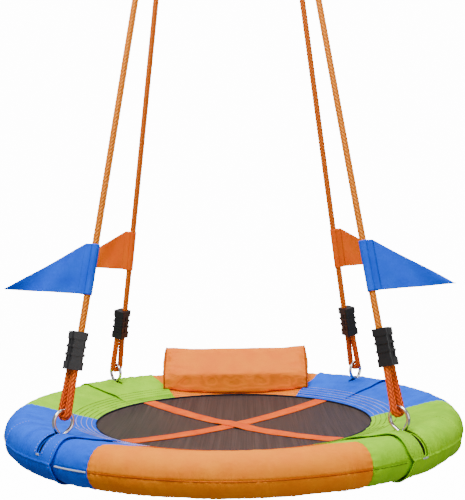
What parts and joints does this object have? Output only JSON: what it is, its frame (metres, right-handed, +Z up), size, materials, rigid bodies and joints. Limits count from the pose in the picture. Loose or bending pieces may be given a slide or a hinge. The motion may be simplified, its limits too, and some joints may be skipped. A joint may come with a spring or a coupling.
{
  "type": "saucer nest swing",
  "caption": "Round padded saucer swing with a mesh seat, cross straps and a pillow, hung on braided ropes with adjusters and pennant flags from carabiners.",
  "frame": {"origin": "on the hang line, midway between the points where the two carabiners bear on what holds them", "axes": "+Z up, +X to the sitter's side along the hang line, -Y to the front"},
  "size_m": [1.0158, 1.019, 1.8554],
  "materials": {
    "rope_orange": "braided polyester",
    "fabric_orange": "woven polyester",
    "fabric_green": "woven polyester",
    "fabric_blue": "woven polyester",
    "flag_blue": "woven nylon",
    "flag_orange": "woven nylon",
    "mesh": "woven coated mesh",
    "webbing_orange": "woven webbing",
    "foam": "closed-cell foam",
    "black_plastic": "moulded",
    "steel_tube": "powder coated",
    "zinc_steel": "zinc plated",
    "hook_loop": "hook and loop"
  },
  "bodies": {
    "hangers": {"carabiner_body_left": "zinc_steel", "carabiner_body_right": "zinc_steel", "carabiner_pin_left": "zinc_steel", "carabiner_pin_right": "zinc_steel"},
    "gate_left": {"carabiner_gate_left": "zinc_steel"},
    "gate_right": {"carabiner_gate_right": "zinc_steel"},
    "swing": {"rope_front_right": "rope_orange", "rope_sleeve_front_right": "black_plastic", "hanger_ring_front_right": "zinc_steel", "frame_tube_front_right": "steel_tube", "rope_back_right": "rope_orange", "rope_sleeve_back_right": "black_plastic", "hanger_ring_back_right": "zinc_steel", "frame_tube_back_right": "steel_tube", "rope_back_left": "rope_orange", "rope_sleeve_back_left": "black_plastic", "hanger_ring_back_left": "zinc_steel", "frame_tube_back_left": "steel_tube", "rope_front_left": "rope_orange", "rope_sleeve_front_left": "black_plastic", "hanger_ring_front_left": "zinc_steel", "frame_tube_front_left": "steel_tube", "cover_front": "fabric_orange", "cover_back": "fabric_orange", "cover_front_right": "fabric_green", "cover_back_left": "fabric_green", "cover_back_right": "fabric_blue", "cover_front_left": "fabric_blue", "cuff_front_right": "fabric_green", "cuff_back_right": "fabric_blue", "cuff_back_left": "fabric_green", "cuff_front_left": "fabric_blue", "foam_sleeve_front": "foam", "foam_sleeve_right": "foam", "foam_sleeve_back": "foam", "foam_sleeve_left": "foam", "frame_screws": "zinc_steel", "seat_mesh": "mesh", "cross_strap_lower": "webbing_orange", "cross_strap_upper": "webbing_orange", "pillow_loop_patch": "hook_loop", "top_ring_left": "zinc_steel", "top_ring_right": "zinc_steel"},
    "pillow": {"pillow_case": "fabric_orange", "pillow_foam": "foam", "pillow_flap": "hook_loop"},
    "adjuster_front_right": {"rope_adjuster_front_right": "black_plastic"},
    "flag_front_right": {"flag_front_right": "flag_blue"},
    "adjuster_back_right": {"rope_adjuster_back_right": "black_plastic"},
    "flag_back_right": {"flag_back_right": "flag_orange"},
    "adjuster_back_left": {"rope_adjuster_back_left": "black_plastic"},
    "flag_back_left": {"flag_back_left": "flag_orange"},
    "adjuster_front_left": {"rope_adjuster_front_left": "black_plastic"},
    "flag_front_left": {"flag_front_left": "flag_blue"}
  },
  "joints": [
    {"name": "swing_pivot", "type": "hinge", "parent": "hangers", "child": "swing", "pos_m": [0, 0, -0.0765], "axis": [1, 0, 0], "range_deg": [-40, 40]},
    {"name": "gate_left", "type": "hinge", "parent": "hangers", "child": "gate_left", "pos_m": [-0.0935, 0, -0.054], "axis": [0, 1, 0], "range_deg": [0, 24], "stiffness_Nm_per_rad": 0.3},
    {"name": "gate_right", "type": "hinge", "parent": "hangers", "child": "gate_right", "pos_m": [0.0935, 0, -0.054], "axis": [0, -1, 0], "range_deg": [0, 24], "stiffness_Nm_per_rad": 0.3},
    {"name": "adjuster_front_right_slide", "type": "slide", "parent": "swing", "child": "adjuster_front_right", "axis": [-0.1476, 0.1864, 0.9713], "range_m": [0, 0.04]},
    {"name": "adjuster_back_right_slide", "type": "slide", "parent": "swing", "child": "adjuster_back_right", "axis": [-0.1476, -0.1864, 0.9713], "range_m": [0, 0.04]},
    {"name": "adjuster_back_left_slide", "type": "slide", "parent": "swing", "child": "adjuster_back_left", "axis": [0.1476, -0.1864, 0.9713], "range_m": [0, 0.04]},
    {"name": "adjuster_front_left_slide", "type": "slide", "parent": "swing", "child": "adjuster_front_left", "axis": [0.1476, 0.1864, 0.9713], "range_m": [0, 0.04]},
    {"name": "flag_front_right_turn", "type": "hinge", "parent": "swing", "child": "flag_front_right", "pos_m": [0.27915, -0.27794, -1.498], "axis": [-0.137, 0.191, 0.972], "range_deg": [-100, 100]},
    {"name": "flag_back_right_turn", "type": "hinge", "parent": "swing", "child": "flag_back_right", "pos_m": [0.27422, 0.27107, -1.463], "axis": [-0.137, -0.191, 0.972], "range_deg": [-100, 100]},
    {"name": "flag_back_left_turn", "type": "hinge", "parent": "swing", "child": "flag_back_left", "pos_m": [-0.27422, 0.27107, -1.463], "axis": [0.137, -0.191, 0.972], "range_deg": [-100, 100]},
    {"name": "flag_front_left_turn", "type": "hinge", "parent": "swing", "child": "flag_front_left", "pos_m": [-0.27915, -0.27794, -1.498], "axis": [0.137, 0.191, 0.972], "range_deg": [-100, 100]},
    {"name": "pillow_lift", "type": "slide", "parent": "swing", "child": "pillow", "axis": [0, 0, 1], "range_m": [0, 0.15]}
  ]
}
